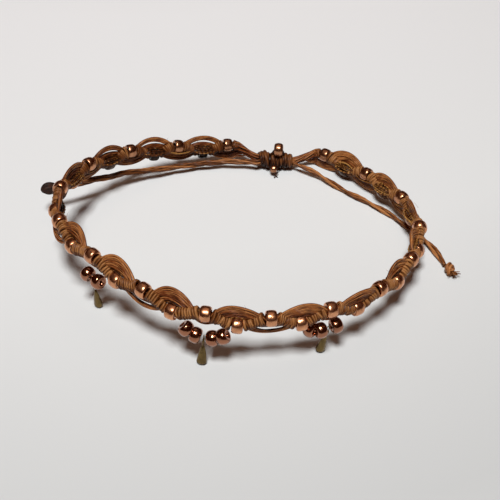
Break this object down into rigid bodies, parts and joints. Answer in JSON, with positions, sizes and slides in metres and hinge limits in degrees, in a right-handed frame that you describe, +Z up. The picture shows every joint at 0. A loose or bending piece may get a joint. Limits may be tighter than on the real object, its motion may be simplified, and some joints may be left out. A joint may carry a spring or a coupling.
{
  "type": "macrame bracelet",
  "caption": "Wavy macrame cord bracelet with copper beads along both edges, short bead strings with brass drops, and a sliding knot with loose tails.",
  "frame": {"origin": "on the floor under the middle of the bracelet's box, measured without the two loose tails and their end knots", "axes": "+Z up from the floor the bracelet lies on, +X along its longest extent with the wrist-left side of the picture at -X, the sliding knot towards +Y and the three brass drops towards -Y"},
  "size_m": [0.0851, 0.0674, 0.0155],
  "materials": {
    "waxed_cord": "caramel brown waxed polyester cord, satin",
    "copper_beads": "polished copper plate",
    "dark_bronze_beads": "darkened bronze, polished",
    "antique_brass": "antique brass, satin"
  },
  "bodies": {
    "root": {"bead_string_left": "dark_bronze_beads", "bead_string_middle": "dark_bronze_beads", "bead_string_right": "dark_bronze_beads", "brass_drop_left": "antique_brass", "brass_drop_middle": "antique_brass", "brass_drop_right": "antique_brass", "crest_bead_01": "copper_beads", "crest_bead_02": "copper_beads", "crest_bead_03": "copper_beads", "crest_bead_04": "copper_beads", "crest_bead_05": "copper_beads", "crest_bead_06": "copper_beads", "crest_bead_07": "copper_beads", "crest_bead_08": "copper_beads", "crest_bead_09": "copper_beads", "crest_bead_10": "copper_beads", "crest_bead_11": "copper_beads", "crest_bead_12": "copper_beads", "crest_bead_13": "copper_beads", "crest_bead_14": "copper_beads", "crest_bead_15": "copper_beads", "crest_bead_16": "copper_beads", "crest_bead_17": "copper_beads", "knot_bead_low": "copper_beads", "knot_bead_top": "copper_beads", "knotted_band": "waxed_cord", "left_tail": "waxed_cord", "left_tail_knob": "waxed_cord", "right_tail": "waxed_cord", "right_tail_knot": "waxed_cord", "sliding_knot": "waxed_cord", "trough_bead_01": "copper_beads", "trough_bead_02": "copper_beads", "trough_bead_03": "copper_beads", "trough_bead_04": "copper_beads", "trough_bead_05": "copper_beads", "trough_bead_06": "copper_beads", "trough_bead_07": "copper_beads", "trough_bead_08": "copper_beads", "trough_bead_09": "copper_beads", "trough_bead_10": "copper_beads", "trough_bead_11": "copper_beads", "trough_bead_12": "copper_beads", "trough_bead_13": "copper_beads", "trough_bead_14": "copper_beads", "trough_bead_15": "copper_beads", "trough_bead_16": "copper_beads"}
  },
  "joints": []
}
